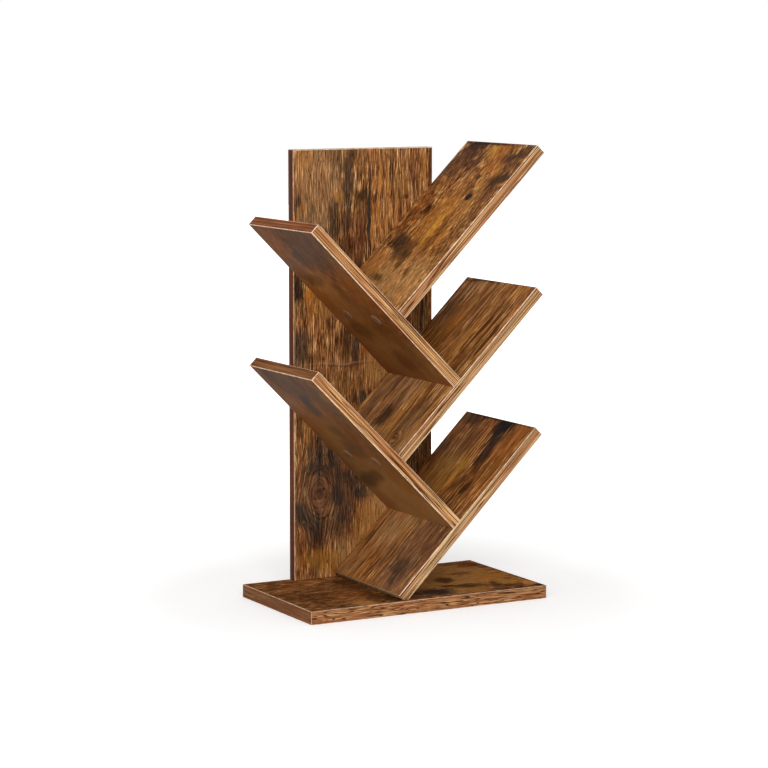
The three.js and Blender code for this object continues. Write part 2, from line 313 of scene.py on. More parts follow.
# %% The print
def board_print(name, place, shift, tone, clouds=0.17, streaks=0.06, lines=0.08, fibres=0.26, blotches=0.08,
                fibre_size=LONG_FIBRES, line_size=LONG_LINES, ragged=0.4, calm=1.0, sheen=0.03,
                tints=(WARMER, COOLER), marks=(), knots=()):
    """The faced board's print, with any painted light and shade that its marks hold. Clouds, streaks, lines,
    fibres and blotches say how far each moves the level from the tone, and calm is the share of them on the
    face in the photograph. Ragged is how far a mark's edge wanders. Marks are along, across, half length,
    half width, tilt, colour and share, and knots end in rings and swing."""
    material, tree, shader = new_material(name, Specular_IOR_Level=sheen)
    own = own_millimetres(tree, place)
    spot = wandering(tree, own, shift)
    bent = spot
    for knot in knots:
        bent = bend_round(tree, bent, knot)
    depth = add_node(tree, "SeparateXYZ", [own], output="Z")
    hidden = add_node(tree, "MapRange", [depth, SHOWN_DEPTH, HIDDEN_DEPTH, 0.0, 1.0])
    strength = add_node(tree, "MapRange", [hidden, 0.0, 1.0, calm, HIDDEN_CONTRAST])

    cloud = grain_noise(tree, bent, CLOUD_LENGTH, CLOUD_WIDTH, detail=4.0, shift=shift)
    streak = grain_noise(tree, bent, STREAK_LENGTH, STREAK_WIDTH, shift=shift + 1)
    line = grain_noise(tree, bent, *line_size, shift=shift + 2)
    fibre = grain_noise(tree, bent, *fibre_size, detail=3.0, shift=shift + 3, roughness=0.7)
    pore = grain_noise(tree, bent, PORE_LENGTH, PORE_WIDTH, detail=1.0, shift=shift + 4)
    bay = grain_noise(tree, spot, RAGGED_LENGTH, RAGGED_WIDTH, detail=3.0, shift=shift + 5)
    mood = grain_noise(tree, bent, CLOUD_LENGTH, CLOUD_WIDTH, detail=3.0, shift=shift + 6)
    stain = grain_noise(tree, spot, STAIN_LENGTH, STAIN_WIDTH, detail=4.0, shift=shift + 7)
    blotch = grain_noise(tree, spot, BLOTCH_LENGTH, BLOTCH_WIDTH, detail=3.0, shift=shift + 8)

    swings = 0.0
    for pattern, soft, reach in ((cloud, CLOUD_SOFT, clouds), (streak, STREAK_SOFT, streaks),
                                 (line, LINE_SOFT, lines), (fibre, FIBRE_SOFT, fibres),
                                 (blotch, BLOTCH_SOFT, blotches)):
        swing = add_node(tree, "MapRange", [pattern, 0.5 - soft, 0.5 + soft, -reach, reach])
        swings = add_node(tree, "Math", [swings, swing], operation="ADD")
    level = add_node(tree, "Math", [swings, strength, tone], operation="MULTIPLY_ADD")

    ramp = tree.nodes.new("ShaderNodeValToRGB")
    for index, (stop, shade) in enumerate(PRINT_BROWNS):
        element = ramp.color_ramp.elements[index] if index < 2 else ramp.color_ramp.elements.new(stop)
        element.position, element.color = stop, colour(shade)
    tree.links.new(level, ramp.inputs[0])
    shade = ramp.outputs[0]

    thread = add_node(tree, "MapRange", [fibre, *WIDE_SPAN, -FIBRE_FUZZ, FIBRE_FUZZ])
    fuzz = add_node(tree, "MapRange", [bay, *WIDE_SPAN, -ragged, ragged])
    fuzz = add_node(tree, "Math", [thread, fuzz], operation="ADD")
    for mark in marks:
        shade = lay_mark(tree, shade, spot, fuzz, mark)
    for spread, stain_shade in ((SOOT_STAINS, SOOT), (HONEY_STAINS, HONEY)):
        cover = add_node(tree, "MapRange", [stain, *spread], interpolation_type="SMOOTHSTEP")
        cover = add_node(tree, "Math", [cover, hidden], operation="MULTIPLY")
        shade = add_node(tree, "Mix", {0: cover, 6: shade, 7: colour(stain_shade)}, **COLOUR_MIX)

    warmth = add_node(tree, "MapRange", [mood, *MIX_SPAN, 0.0, 1.0])
    hue = add_node(tree, "Mix", {0: warmth, 6: colour(tints[0]), 7: colour(tints[1])}, **COLOUR_MIX)
    shade = add_node(tree, "Mix", {0: 1.0, 6: shade, 7: hue}, **COLOUR_MIX, blend_type="MULTIPLY")
    threads = add_node(tree, "MapRange", [fibre, *FIBRE_SPAN, -fibres * FIBRE_LIFT, fibres * FIBRE_LIFT])
    pits = add_node(tree, "MapRange", [pore, *PIT_SPAN, 0.0, -fibres * PIT_DROP])
    relief = add_node(tree, "Math", [threads, pits], operation="ADD")
    light = add_node(tree, "Math", [relief, strength, 1.0], operation="MULTIPLY_ADD")
    for knot in knots:
        light = add_rings(tree, light, spot, fuzz, knot)
    lit = add_node(tree, "VectorMath", {0: shade, "Scale": light}, operation="SCALE")
    tree.links.new(lit, shader.inputs["Base Color"])

    roughness = add_node(tree, "MapRange", [cloud, *WIDE_SPAN, MATT, SATIN])
    tree.links.new(roughness, shader.inputs["Roughness"])
    relief = add_node(tree, "Bump", {"Height": light, "Strength": EMBOSS_STRENGTH,
                                    "Distance": EMBOSS_DEPTH * MM}, output="Normal")
    tree.links.new(relief, shader.inputs["Normal"])
    return material


print("a board's fibres are", FINE_FIBRES, "or", LONG_FIBRES, "mm")

# %% [markdown]
# ## Where each board's marks are
# Every board of this bookshelf has its own stains, pale patches and knots, and they were placed one by
# one with the photograph alongside, in the board's own millimetres. Broad pale and brown patches come
# first, and the small dark ones are laid over them. A few marks are painted light and shade instead of
# print: broad pale patches that lift the shade under the left shelves, two dark patches at the lowest
# right shelf's foot that are partly print and partly painted shadow, and a dark line of painted shade
# across each right shelf by its tip. A board holds 70 marks at most: with about eight more the renderer
# runs out of room for the material and draws the board black, without a message.

# %% Marks on the trunk
TRUNK_MARKS = (
    (362, -88, 60, 26, 0, "#573b23", 0.35), (170, -88, 46, 24, 0, "#3f2a19", 0.75),
    (292, -20, 28, 20, 0, "#b58a52", 0.8), (545, 72, 80, 44, 0, "#9a7a56", 0.5),
    (580, 92, 24, 14, 0, HONEY, 0.5), (552, 24, 52, 8, 0, "#3d3029", 0.8),
    (585, 40, 30, 10, 0, GREY_BROWN, 0.6), (586, 6, 18, 14, 0, "#5a3c26", 0.5),
    (490, 45, 38, 10, 0, "#37291f", 0.75), (526, 37, 8, 9, 0, "#9a7430", 0.6),
    (500, 4, 42, 14, 0, "#46301f", 0.6), (488, 26, 34, 10, 0, "#3a2b22", 0.7),
    (507, -9, 54, 2.8, 0, SMOKE, 1.0), (527, -1, 8, 9, 0, "#40301a", 0.8), (521, -17, 6, 4, 0, SOOT, 0.7),
    (482, -14, 40, 1.3, 0, "#b57a38", 1.0), (482, 3, 28, 5, 0, "#7d4a34", 0.5),
    (445, 14, 26, 28, 0, "#46291a", 0.55), (523, -65, 4, 6, 0, SOOT, 0.8),
    (525, -24, 60, 2.2, 0, GOLD, 0.7), (512, -37, 60, 2.4, 0, GOLD, 0.65),
    (515, -51, 50, 2.4, 0, HONEY, 0.7), (505, -57, 46, 1.8, 0, UMBER, 0.6),
    (540, -62, 30, 3, 0, HONEY, 0.5), (535, -79, 34, 2.2, 0, UMBER, 0.5), (562, -96, 24, 3, 0, GOLD, 0.8),
    (560, -105, 46, 3.5, 0, PLUM, 0.8), (563, -80, 28, 13, 0, "#5a3222", 0.5),
    (521, 101, 12, 5, 0, SOOT, 0.75), (512, 93, 6, 3, 0, ORANGE, 0.8), (402, 101, 22, 10, 0, SOOT, 0.85),
    (397, 82, 15, 8, -25, "#bd8030", 0.8), (374, 70, 14, 17, 0, "#a87631", 0.5),
    (372, 92, 20, 8, 0, UMBER, 0.5), (322, 96, 30, 13, 0, SMOKE, 0.7), (322, 13, 26, 6, 0, SMOKE, 0.7),
    (322, 28, 28, 12, 0, UMBER, 0.6), (314, -2, 7, 5, 0, ORANGE, 0.9),
    (297, 40, 1.6, 50, 0, "#a87a5a", 0.65), (294, 36, 1.2, 46, 0, "#4a2c20", 0.45),
    (262, 26, 16, 30, 0, "#8c6330", 0.4), (247, 2, 12, 8, 0, SMOKE, 0.85), (247, 15, 12, 6, 0, UMBER, 0.6),
    (122, 56, 84, 58, 0, "#563f2f", 0.65), (130, 34, 32, 38, 0, "#4a3a2f", 0.4),
    (118, 68, 34, 21, 0, "#704b33", 0.8), (115, 67, 8, 5, 0, "#452c22", 0.6),
    (200, 86, 15, 3.5, 0, "#b07a35", 0.8), (215, 99, 30, 5, 0, UMBER, 0.6), (153, 77, 9, 24, 0, SMOKE, 0.4),
    (172, 83, 30, 4.5, 0, SMOKE, 0.65), (170, 69, 38, 6, 0, SMOKE, 0.85), (172, 51, 28, 7, 0, SMOKE, 0.7),
    (146, 36, 20, 15, 0, SMOKE, 0.6), (136, 8, 17, 24, 0, SMOKE, 0.42),
    (113, 0, 13, 16, 0, "#2b2c2e", 0.85), (112, 41, 20, 8, 0, SMOKE, 0.8),
    (86, 30, 16, 14, 0, "#3a2d25", 0.65), (74, -22, 50, 26, 0, "#cc9c64", 0.9),
    (94, 98, 17, 11, 0, SMOKE, 0.8), (74, 80, 24, 18, 0, SMOKE, 0.75), (62, 62, 18, 14, 0, "#3b2f27", 0.3),
    (71, 39, 15, 10, 0, "#33281f", 0.5), (45, 71, 20, 9, 0, "#3a2820", 0.85),
    (160, 27, 15, 11, 0, "#8a5a38", 0.75), (62, -6, 44, 24, 0, "#96692f", 0.6),
    (24, 60, 16, 36, 0, "#9a6b2a", 0.65), (52, 100, 22, 10, 0, "#85562d", 0.6),
    (30, 18, 22, 28, 0, "#a07c4a", 0.75), (358, -92, 30, 2.4, 0, "#2c2521", 0.9),
)
TRUNK_KNOTS = ((117, 68, 44, 27, 0, 6.5, 0.3),)
print("marks on the trunk:", len(TRUNK_MARKS))

# %% Marks on the right shelves
RIGHT_UPPER_MARKS = (
    (258, -68, 40, 20, 0, "#55361e", 0.75), (40, -20, 60, 74, 0, "#c8a06e", 0.75),
    (150, -20, 60, 50, 0, "#a8763f", 0.4), (112, 50, 15, 30, -8, "#40312a", 0.9),
    (100, 20, 20, 26, 0, "#463730", 0.8), (190, -6, 26, 20, 0, "#b07c42", 0.5),
    (76, 2, 17, 8, 0, "#53361f", 0.8), (90, 84, 14, 5, 0, SOOT, 0.5), (171, 46, 13, 9, 10, "#4b2a1a", 0.95),
    (188, 62, 12, 11, 0, "#6b4024", 0.6), (157, 80, 9, 3, 0, UMBER, 0.8), (207, 24, 4, 11, 0, UMBER, 0.8),
    (203, -29, 8, 7, 0, SOOT, 1.0), (234, -13, 7, 6, 20, SOOT, 0.95), (214, -14, 15, 10, 0, "#6b4626", 0.6),
    (64, -33, 11, 5, 10, "#4b2420", 0.8), (236, -70, 10, 30, 15, OLIVE, 1.0),
    (274, -44, 9, 22, 10, UMBER, 0.6), (288, -76, 16, 13, 0, UMBER, 0.75),
    (268, 64, 42, 30, 0, "#4a2b18", 0.85), (292, 54, 11, 22, 0, "#2c1812", 0.8),
    (262, 26, 26, 13, 0, "#4e2c18", 0.75), (46, 34, 6, 24, -10, "#4b3828", 0.7),
    (120, -30, 46, 9, 0, "#67421f", 0.6), (160, -72, 76, 17, 0, "#6b4626", 0.5),
    (210, -62, 28, 11, 0, UMBER, 0.4), (144, -8, 32, 9, 0, "#d3a04a", 0.95),
    (128, -44, 18, 7, 0, GOLD, 0.7), (165, 16, 56, 20, 0, "#b27b42", 0.7),
    (284, 2, 16, 12, 0, "#bc8736", 0.75), (266, -20, 34, 13, 0, "#ab6b2e", 0.7),
    (250, -44, 12, 12, 0, GOLD, 0.6), (224, -30, 7, 10, 0, GOLD, 0.7), (222, 68, 9, 26, 0, "#a86a38", 0.55),
    # The dark line at 297 mm along, by the tip, is painted shade along the top face's far edge.
    (66, 66, 24, 32, 0, "#c08a55", 0.8), (297, 30, 3, 70, 0, "#20140e", 0.8),
    (225, 84, 30, 9, 0, "#5c3a22", 0.6), (250, 62, 8, 16, 0, "#8f5c34", 0.5),
    (185, -46, 50, 8, 0, HONEY, 0.5), (135, 74, 34, 12, 0, "#8f5c34", 0.4),
)
RIGHT_MIDDLE_MARKS = (
    (92, 34, 66, 58, 0, "#a8866c", 0.6), (24, -44, 50, 50, 0, "#ab8458", 0.55),
    (60, -66, 50, 26, 0, "#7d6654", 0.5), (212, 38, 44, 28, 0, "#a87a40", 0.65),
    (256, -60, 20, 14, 0, "#5f4022", 0.5), (210, 34, 60, 14, 0, "#966630", 0.5),
    (48, 14, 20, 16, 0, "#3b2c22", 0.8), (86, 12, 30, 8, 0, UMBER, 0.5), (70, -31, 56, 2.2, 0, UMBER, 0.7),
    (75, -24, 56, 4, 0, GOLD, 0.7), (70, -44, 50, 12, 0, EARTH, 0.5), (90, -72, 36, 3, 0, UMBER, 0.6),
    (60, -80, 40, 5, 0, GOLD, 0.55), (70, 36, 46, 5, 0, HONEY, 0.55), (85, 65, 38, 17, 0, "#6b4736", 0.3),
    (195, -24, 54, 6, 0, GOLD, 0.85), (210, -45, 56, 3.4, 0, "#4a2e18", 0.75),
    (200, -52, 46, 2.4, 0, HONEY, 0.7), (205, -60, 50, 3.4, 0, "#4a2e18", 0.7),
    (215, -67, 42, 2.4, 0, HONEY, 0.6), (205, -78, 46, 4.4, 0, "#452a18", 0.8),
    (200, -86, 46, 2.4, 0, ORANGE, 0.6), (284, -66, 16, 16, 0, GOLD, 0.3), (293, -42, 10, 3, 0, HONEY, 0.8),
    (198, 4, 12, 10, 0, "#4c3018", 0.4), (158, -62, 24, 18, 0, "#6b4626", 0.5),
    (262, 2, 34, 5, 0, "#553619", 0.4), (248, 66, 40, 13, 0, "#5f4024", 0.45),
    (230, 76, 40, 10, 0, "#553824", 0.4), (240, 90, 46, 4, 0, SOOT, 0.7), (225, 32, 24, 10, 0, GOLD, 0.6),
    (250, 25, 40, 3, 0, "#c99755", 0.7), (165, -8, 40, 10, 0, HONEY, 0.5),
    # The dark line at 297 mm along, by the tip, is painted shade along the top face's far edge.
    (280, -10, 20, 30, 0, "#96682f", 0.4), (297, 50, 3, 44, 0, "#2a1c12", 0.7),
    (110, 46, 40, 2.4, 0, UMBER, 0.6),
)
RIGHT_MIDDLE_KNOTS = ((22, -51, 15, 18, 0, 2.0, 0.45),)
RIGHT_LOWER_MARKS = (
    (66, -46, 90, 46, 0, "#745a4b", 0.7), (96, -72, 44, 20, 0, "#52382a", 0.55),
    (102, 46, 56, 44, 0, "#c09a70", 0.7), (22, 72, 34, 30, 0, "#b99268", 0.7),
    (38, -42, 21, 21, 0, "#3f332d", 0.75), (22, -68, 30, 24, 0, "#5f4638", 0.5),
    (68, 75, 56, 1.6, 0, UMBER, 0.8), (75, 88, 44, 5, 0, GOLD, 0.5), (52, 12, 24, 14, 0, "#6b4a3a", 0.4),
    (291, -22, 22, 24, 0, "#1f1a18", 1.0), (246, -27, 40, 14, 12, SOOT, 0.85),
    (182, -46, 14, 9, 0, OLIVE, 0.95), (184, -22, 15, 9, 0, "#59391f", 0.6),
    (200, 2, 36, 8, 0, "#c9983f", 0.9), (225, 8, 50, 2.0, 0, "#cc9c58", 0.8),
    (205, 19, 50, 1.8, 0, "#cc9c58", 0.7), (190, 27, 46, 1.8, 0, "#c0904f", 0.7),
    (262, -68, 44, 16, 0, "#a8692f", 0.65), (225, 80, 38, 10, 0, "#5f4020", 0.6),
    (288, 62, 13, 30, 0, "#3a2617", 0.75), (278, 22, 18, 12, 0, "#7d4e28", 0.4),
    (205, 44, 32, 11, 0, HONEY, 0.4), (252, 30, 26, 20, 0, "#6b4626", 0.5),
    # The dark line at 297 mm along, by the tip, is painted shade along the top face's far edge.
    (190, 40, 42, 36, 0, "#bd965a", 0.72), (297, 10, 4, 90, 0, "#2a1d14", 0.8),
    (210, -62, 30, 14, 0, "#8f602c", 0.4), (20, 62, 30, 3, 0, HONEY, 0.5), (40, -6, 50, 1.8, 0, HONEY, 0.5),
)
print("marks on the right shelves:", len(RIGHT_UPPER_MARKS), len(RIGHT_MIDDLE_MARKS), len(RIGHT_LOWER_MARKS))

# %% Marks on the left shelves and the base
LEFT_UPPER_MARKS = (
    # The first two patches are painted light: they lift the shade on this underside towards the trunk and
    # the foot.
    (122, 44, 110, 56, 0, "#a87f4c", 0.6), (26, 0, 66, 100, 0, "#a37d4c", 0.65),
    (150, 68, 28, 17, 0, "#8a531c", 0.6), (130, 8, 50, 60, 0, "#6b4a22", 0.35),
    (272, -30, 56, 74, 0, "#4f4034", 0.8), (238, 24, 20, 20, 0, "#473a31", 0.75),
    (284, 76, 22, 18, 0, "#6b4c36", 0.5), (214, 66, 30, 24, 0, "#5a4232", 0.65),
    (40, -10, 24, 26, 0, "#4f321e", 0.5), (95, 42, 20, 30, 0, "#50361a", 0.5),
    (185, -62, 36, 22, 0, "#80511d", 0.6), (193, 44, 12, 32, 15, "#482f18", 0.5),
    (175, -10, 22, 15, 0, "#553216", 0.45), (60, -52, 36, 20, 0, "#5f4726", 0.45),
    (110, -36, 13, 34, 15, "#5c4622", 0.4),
)
LEFT_LOWER_MARKS = (
    # The first two patches are painted light: they lift the shade on this underside's lower half, towards
    # its foot.
    (90, 20, 100, 76, 0, "#96703f", 0.55), (24, 0, 62, 100, 0, "#b58a54", 0.75),
    (85, -64, 24, 24, 0, "#8f5c22", 0.5), (46, -24, 36, 52, 0, "#8c5d2c", 0.4),
    (68, 56, 15, 34, 20, "#463c27", 0.7), (86, 14, 12, 30, 20, "#4e3226", 0.6),
    (148, -6, 22, 42, 20, "#4c3327", 0.55), (180, 0, 13, 20, 0, "#4f3b1e", 0.5),
    (190, -48, 24, 22, 0, "#614624", 0.5), (226, 8, 20, 19, 0, "#4d4036", 0.75),
    (246, 2, 8, 22, 20, "#3c3a38", 0.75), (278, 10, 36, 76, 0, "#544438", 0.7),
    (246, -56, 38, 28, 0, "#5d4634", 0.6), (290, 56, 14, 20, 0, "#504136", 0.5),
    (20, 60, 26, 22, 0, "#8b5826", 0.4), (262, -78, 9, 12, 0, "#8c6a2c", 0.45),
)
BASE_MARKS = (
    (238, -30, 54, 64, 0, "#b58a50", 0.8), (290, 10, 60, 66, 0, "#b8884c", 0.8),
    (206, -68, 25, 20, 0, "#3b322e", 0.95), (252, -5, 14, 22, 0, UMBER, 0.8),
    (222, 26, 12, 16, 0, UMBER, 0.6), (296, 24, 18, 10, 0, "#6d4526", 0.6),
    (238, -44, 10, 7, 0, "#4a230f", 0.8), (262, -55, 24, 13, 0, UMBER, 0.8),
    (303, -60, 9, 18, -25, OLIVE, 0.85), (328, -16, 26, 16, 0, "#b3762f", 0.7),
    (120, -4, 30, 40, 0, "#7d5028", 0.4), (85, -84, 15, 16, 0, GOLD, 0.75),
    (60, -20, 20, 20, 0, UMBER, 0.4), (320, -97, 12, 8, 0, SOOT, 0.85), (352, -95, 12, 7, 0, SOOT, 0.85),
    (348, -74, 9, 12, 0, GOLD, 0.95), (326, -56, 18, 14, 0, "#bb8840", 0.7),
    # These two dark patches at the lowest right shelf's foot are partly print and partly painted shadow.
    (120, -60, 22, 34, 0, "#3d2512", 0.7), (140, -80, 16, 24, 0, "#3d2512", 0.6),
    (126, 20, 14, 60, 0, UMBER, 0.5), (335, 70, 18, 12, 0, "#6a2c1c", 0.6),
    (90, -30, 30, 24, 0, ORANGE, 0.3), (240, 44, 34, 34, 0, "#a87f4c", 0.65),
    (262, -84, 26, 12, 0, HONEY, 0.6), (28, -30, 18, 26, 0, UMBER, 0.45), (210, 60, 30, 30, 0, UMBER, 0.5),
)

print("marks on the left shelves:", len(LEFT_UPPER_MARKS), len(LEFT_LOWER_MARKS), "base:", len(BASE_MARKS))

# %% Board finishes
board_finishes = {
    "base_board": board_print(
        "rustic_print_and_painted_shadow_base", places["base_board"], 11.0, tone=0.51, clouds=0.2, fibres=0.2, sheen=0.0,
        marks=BASE_MARKS),
    "trunk_board": board_print(
        "rustic_print_trunk", places["trunk_board"], 23.0, tone=0.61, clouds=0.13, lines=0.11, fibres=0.32,
        blotches=0.06, fibre_size=FINE_FIBRES, line_size=FINE_LINES, ragged=0.25, marks=TRUNK_MARKS,
        knots=TRUNK_KNOTS),
    "right_shelf_lower": board_print(
        "rustic_print_and_painted_shade_right_lower", places["right_shelf_lower"], 37.0, tone=0.64, clouds=0.13, lines=0.14,
        fibre_size=STREAKY_FIBRES, tints=(GOLDEN, SANDY), marks=RIGHT_LOWER_MARKS),
    "left_shelf_lower": board_print(
        "rustic_print_and_painted_light_left_lower", places["left_shelf_lower"], 41.0, tone=0.49, ragged=0.2, calm=0.22,
        sheen=0.018, marks=LEFT_LOWER_MARKS),
    "right_shelf_middle": board_print(
        "rustic_print_and_painted_shade_right_middle", places["right_shelf_middle"], 53.0, tone=0.71, clouds=0.13,
        streaks=0.12, lines=0.16, fibre_size=STREAKY_FIBRES, tints=(GOLDEN, SANDY),
        marks=RIGHT_MIDDLE_MARKS, knots=RIGHT_MIDDLE_KNOTS),
    "left_shelf_upper": board_print(
        "rustic_print_and_painted_light_left_upper", places["left_shelf_upper"], 67.0, tone=0.49, ragged=0.2, calm=0.35,
        sheen=0.018, tints=(WARMER, GOLDEN), marks=LEFT_UPPER_MARKS),
    "right_shelf_upper": board_print(
        "rustic_print_and_painted_shade_right_upper", places["right_shelf_upper"], 71.0, tone=0.65, clouds=0.2, fibres=0.32,
        blotches=0.12, tints=(GOLDEN, SANDY), marks=RIGHT_UPPER_MARKS),
}
print("board finishes:", [material.name for material in board_finishes.values()])

# %% [markdown]
# ## The print on the edge bands
# The narrow faces carry a strip of ABS plastic, 1 mm thick, printed in a lighter wood grain: tan and
# gold lines, a few red patches, and dark lines where the print's own rings are cut. After gluing, its
# corners are scraped round, which cuts through the print and shows the strip's pale core: those are the
# cream lines round the shelves. The core is duller round the base and up the trunk. The grain runs along
# each strip, so the material is made once for each direction of strip, and once more where a strip is a
# shade apart from the others.

# %% Edge band materials
BAND_TAN, BAND_GOLD, BAND_RED, BAND_DARK = "#9c6d43", "#e8bd8b", "#b2714a", "#4a2b18"
LEAN_TONES = ("#8b5d34", "#ebc48f", BAND_RED)
# These paler, greyer tones are print with a painted sheen in them, for the top of the trunk.
PALE_PRINT_AND_SHEEN_TONES = ("#a5866c", "#dcc1a5", "#b38c70")
BAND_LINE_LENGTH, BAND_LINE_WIDTH = 220.0, 1.6
BAND_FIGURE_LENGTH, BAND_FIGURE_WIDTH = 420.0, 6.0
BAND_PATCH_LENGTH, BAND_PATCH_WIDTH = 140.0, 7.0
BAND_FIGURE_LINES = 15.0  # how many dark lines a full swing of the figure is cut into
BAND_DARK_SPAN, BAND_GLINT_SPAN = (0.06, 0.22), (0.43, 0.57)
BAND_RED_SPAN, BAND_RED_SHARE = (0.4, 0.6), 0.7
BAND_EMBOSS_STRENGTH, BAND_EMBOSS_DEPTH = 0.3, 0.1
CORE_WEAR = 7.0  # millimetres between the paler and duller places of the scraped core


def band_print(name, along, across, tint="#ffffff", lines=1.0, stretch=1.0, contrast=1.5,
               tones=(BAND_TAN, BAND_GOLD, BAND_RED)):
    """The band's printed face, with its grain along one direction of the room. Lines is how dark its lines
    are, stretch how long its figures, contrast how far its two tones lie apart, and the third tone is its
    patches'."""
    material, tree, shader = new_material(name, Specular_IOR_Level=0.05)
    spot = own_millimetres(tree, room_turn(along, across, along.cross(across)))
    line = grain_noise(tree, spot, BAND_LINE_LENGTH * stretch, BAND_LINE_WIDTH, roughness=0.7)
    figure = grain_noise(tree, spot, BAND_FIGURE_LENGTH * stretch, BAND_FIGURE_WIDTH, shift=9.0,
                         roughness=0.4)
    patch = grain_noise(tree, spot, BAND_PATCH_LENGTH * stretch, BAND_PATCH_WIDTH, shift=5.0)
    counted = add_node(tree, "Math", [figure, BAND_FIGURE_LINES], operation="MULTIPLY")
    rings = add_node(tree, "Math", [counted, 0.5], operation="PINGPONG")
    dark = add_node(tree, "MapRange", [rings, *BAND_DARK_SPAN, lines, 0.0], interpolation_type="SMOOTHSTEP")
    redness = add_node(tree, "MapRange", [patch, *BAND_RED_SPAN, 0.0, BAND_RED_SHARE])
    glint = add_node(tree, "MapRange", [line, *BAND_GLINT_SPAN, 0.5 - contrast / 2, 0.5 + contrast / 2])
    shade = add_node(tree, "Mix", {0: glint, 6: colour(tones[0]), 7: colour(tones[1])}, **COLOUR_MIX)
    shade = add_node(tree, "Mix", {0: redness, 6: shade, 7: colour(tones[2])}, **COLOUR_MIX)
    shade = add_node(tree, "Mix", {0: dark, 6: shade, 7: colour(BAND_DARK)}, **COLOUR_MIX)
    shade = add_node(tree, "Mix", {0: 1.0, 6: shade, 7: colour(tint)}, **COLOUR_MIX, blend_type="MULTIPLY")
    tree.links.new(shade, shader.inputs["Base Color"])
    tree.links.new(add_node(tree, "MapRange", [line, *WIDE_SPAN, MATT, SATIN]), shader.inputs["Roughness"])
    relief = add_node(tree, "Bump", {"Height": line, "Strength": BAND_EMBOSS_STRENGTH,
                                    "Distance": BAND_EMBOSS_DEPTH * MM}, output="Normal")
    tree.links.new(relief, shader.inputs["Normal"])
    return material


def scraped_core(name, dull, bright):
    """The ABS core where it was scraped. The eye sees a thin pale line, matt and a little uneven."""
    material, tree, shader = new_material(name, Roughness=0.6, Specular_IOR_Level=0.05)
    spot = add_node(tree, "TexCoord", [], output="Object")
    uneven = add_node(tree, "TexNoise", {"Vector": spot, "Scale": 1 / (CORE_WEAR * MM), "Detail": 3.0})
    wear = add_node(tree, "MapRange", [uneven, *MIX_SPAN, 0.0, 1.0])
    shade = add_node(tree, "Mix", {0: wear, 6: colour(dull), 7: colour(bright)}, **COLOUR_MIX)
    tree.links.new(shade, shader.inputs["Base Color"])
    return material


print("band lines are", BAND_LINE_WIDTH, "mm wide, and figures", BAND_FIGURE_WIDTH, "mm")

# %% Edge band finishes
# SHADED is painted shade: it darkens the print of the trunk's side bands, as if they were lit less than the
# front.
REDDER, BROWNER, DIMMER, SHADED = "#caa47e", "#b0906c", "#e4d4c6", "#875e31"
band_finishes = {
    "right_lean": band_print(
        "abs_band_print_right_lean", RIGHT_LEAN, Y_AXIS, contrast=2.2, tones=LEAN_TONES),
    "left_lean": band_print(
        "abs_band_print_left_lean", LEFT_LEAN, Y_AXIS, tint="#fbeedd", contrast=2.2, tones=LEAN_TONES),
    "tips": band_print("abs_band_print_and_corner_shade_tips", Y_AXIS, Z_AXIS, tint=REDDER, lines=0.95, contrast=2.2),
    "low_tip": band_print("abs_band_print_low_tip", Y_AXIS, Z_AXIS, tint=BROWNER, lines=0.95, contrast=2.2),
    # The base's side bands get a darker tint, which is painted shade, as if they were lit less than the
    # front.
    "base_sides": band_print(
        "abs_band_print_and_painted_shade_base_sides", Y_AXIS, Z_AXIS, tint="#a8927f", lines=0.35, stretch=0.4, contrast=0.6),
    "sideways": band_print("abs_band_print_sideways", X_AXIS, Y_AXIS, tint=DIMMER, stretch=0.25),
    "trunk_top": band_print("abs_band_print_and_sheen_trunk_top", X_AXIS, Y_AXIS, lines=0.4, tones=PALE_PRINT_AND_SHEEN_TONES),
    "upright": band_print("abs_band_print_and_painted_shade_upright", Z_AXIS, X_AXIS, tint=SHADED, lines=0.7, contrast=1.0),
}
pale_core = scraped_core("abs_band_scraped_core", "#cda17c", "#f2dfc8")
# The duller core is a darker colour for the edges round the base and up the trunk.
dull_core = scraped_core("abs_band_dull_core", "#a07d68", "#d2b294")
print("edge band finishes:", list(band_finishes))

# %% [markdown]
# ## Chipboard, steel and caps
# Chipboard shows only inside the screw holes and on the shelves' cut feet. The screws are zinc plated
# steel. The caps are thin printed discs with a cut rim. All of them are small and mostly hidden, so each
# gets one noise for its own unevenness and no marks placed by hand.

# %% Chipboard, steel and cap materials
CHIP_SIZE, GRIT_SIZE = 1.6, 0.8
CHIP_RELIEF_STRENGTH, CHIP_RELIEF = 0.6, 0.3
STEEL_POLISH = (0.24, 0.38)
CAP_FIBRES, CAP_RIM_GRAIN = (8.0, 1.5), 3.0
CAP_POLISH = (0.5, 0.4)


def chipboard():
    """Pressed wood chips and resin. The eye sees a dull, rough, speckled straw brown."""
    material, tree, shader = new_material("raw_chipboard", Roughness=0.9, Specular_IOR_Level=0.2)
    spot = add_node(tree, "TexCoord", [], output="Object")
    chips = add_node(tree, "TexVoronoi", {"Vector": spot, "Scale": 1 / (CHIP_SIZE * MM)}, output="Color")
    grey = add_node(tree, "RGBToBW", [chips])
    shade = add_node(tree, "Mix", {0: grey, 6: colour("#7d5d3c"), 7: colour("#c4a277")}, **COLOUR_MIX)
    tree.links.new(shade, shader.inputs["Base Color"])
    relief = add_node(tree, "Bump", {"Height": grey, "Strength": CHIP_RELIEF_STRENGTH,
                                    "Distance": CHIP_RELIEF * MM}, output="Normal")
    tree.links.new(relief, shader.inputs["Normal"])
    return material


